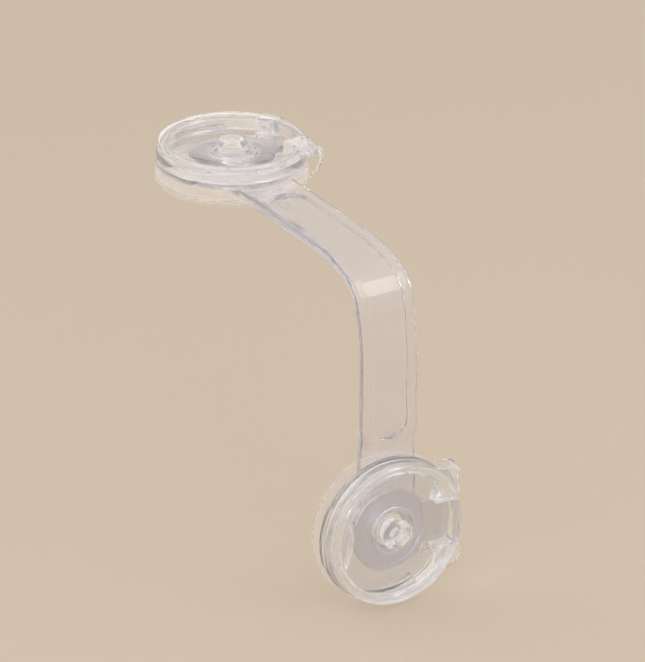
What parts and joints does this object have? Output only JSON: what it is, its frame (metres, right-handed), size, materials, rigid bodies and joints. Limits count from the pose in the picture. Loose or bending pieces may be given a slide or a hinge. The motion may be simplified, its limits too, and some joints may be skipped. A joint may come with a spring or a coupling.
{
  "type": "cabinet safety lock",
  "caption": "Clear stick-on cabinet safety lock: a strap bent round a furniture corner between two round press-to-release cases.",
  "frame": {"origin": "centre of the upper adhesive face", "axes": "+Z out of the upper furniture face, -Y along the strap to the furniture corner, +X towards the press tongues"},
  "size_m": [0.0416, 0.1069, 0.0986],
  "materials": {
    "clear_case": "clear glossy moulded plastic with a faint lilac-grey tint",
    "clear_strap": "clear glossy flexible plastic with a faint lilac-grey tint",
    "clear_adhesive": "clear double-sided adhesive film"
  },
  "bodies": {
    "upper_base": {"upper_adhesive_pad": "clear_adhesive", "upper_base_plate": "clear_case", "upper_hub_stud": "clear_case"},
    "upper_cup": {"upper_cup": "clear_case", "upper_cover_ring": "clear_case", "upper_latch_spring": "clear_case"},
    "upper_latch": {"upper_latch": "clear_case"},
    "lower_base": {"lower_adhesive_pad": "clear_adhesive", "lower_base_plate": "clear_case", "lower_hub_stud": "clear_case"},
    "lower_cup": {"lower_cup": "clear_case", "lower_cover_ring": "clear_case", "lower_latch_spring": "clear_case"},
    "lower_latch": {"lower_latch": "clear_case"},
    "strap_upper": {"strap_upper_leg": "clear_strap"},
    "strap_bend_1": {"strap_bend_1": "clear_strap"},
    "strap_bend_2": {"strap_bend_2": "clear_strap"},
    "strap_bend_3": {"strap_bend_3": "clear_strap"},
    "strap_bend_4": {"strap_bend_4": "clear_strap"},
    "strap_lower": {"strap_lower_leg": "clear_strap"}
  },
  "joints": [
    {"name": "upper_swivel", "type": "hinge", "parent": "upper_base", "child": "strap_upper", "pos_m": [0, 0, 0.0034], "axis": [0, 0, 1], "continuous": true},
    {"name": "flex_1", "type": "hinge", "parent": "strap_upper", "child": "strap_bend_1", "pos_m": [0, -0.06363, 0.00423], "axis": [-1, 0, 0], "range_deg": [0, 17.9], "stiffness_Nm_per_rad": 0.2},
    {"name": "flex_2", "type": "hinge", "parent": "strap_bend_1", "child": "strap_bend_2", "pos_m": [0, -0.07338, 0.00163], "axis": [-1, 0, 0], "range_deg": [0, 17.9], "stiffness_Nm_per_rad": 0.2},
    {"name": "flex_3", "type": "hinge", "parent": "strap_bend_2", "child": "strap_bend_3", "pos_m": [0, -0.07596, -0.00024], "axis": [-1, 0, 0], "range_deg": [0, 17.9], "stiffness_Nm_per_rad": 0.2},
    {"name": "flex_4", "type": "hinge", "parent": "strap_bend_3", "child": "strap_bend_4", "pos_m": [0, -0.07783, -0.00282], "axis": [-1, 0, 0], "range_deg": [0, 17.9], "stiffness_Nm_per_rad": 0.2},
    {"name": "flex_5", "type": "hinge", "parent": "strap_bend_4", "child": "strap_lower", "pos_m": [0, -0.08043, -0.01257], "axis": [-1, 0, 0], "range_deg": [0, 17.9], "stiffness_Nm_per_rad": 0.2},
    {"name": "lower_swivel", "type": "hinge", "parent": "strap_lower", "child": "lower_base", "pos_m": [0, -0.0787, -0.067], "axis": [0, 1, 0], "continuous": true},
    {"name": "upper_cup_lift", "type": "slide", "parent": "upper_base", "child": "upper_cup", "axis": [0, 0, 1], "range_m": [0, 0.008]},
    {"name": "upper_latch_press", "type": "slide", "parent": "upper_cup", "child": "upper_latch", "axis": [-1, 0, 0], "range_m": [0, 0.0026], "deforming": ["upper_latch_spring"]},
    {"name": "lower_cup_lift", "type": "slide", "parent": "lower_base", "child": "lower_cup", "axis": [0, -1, 0], "range_m": [0, 0.008]},
    {"name": "lower_latch_press", "type": "slide", "parent": "lower_cup", "child": "lower_latch", "axis": [-1, 0, 0], "range_m": [0, 0.0026], "deforming": ["lower_latch_spring"]}
  ],
  "couplings": [
    {"joint": "upper_latch_press", "follows": "upper_cup_lift", "ratio": 0.3214},
    {"joint": "lower_latch_press", "follows": "lower_cup_lift", "ratio": 0.3214}
  ]
}
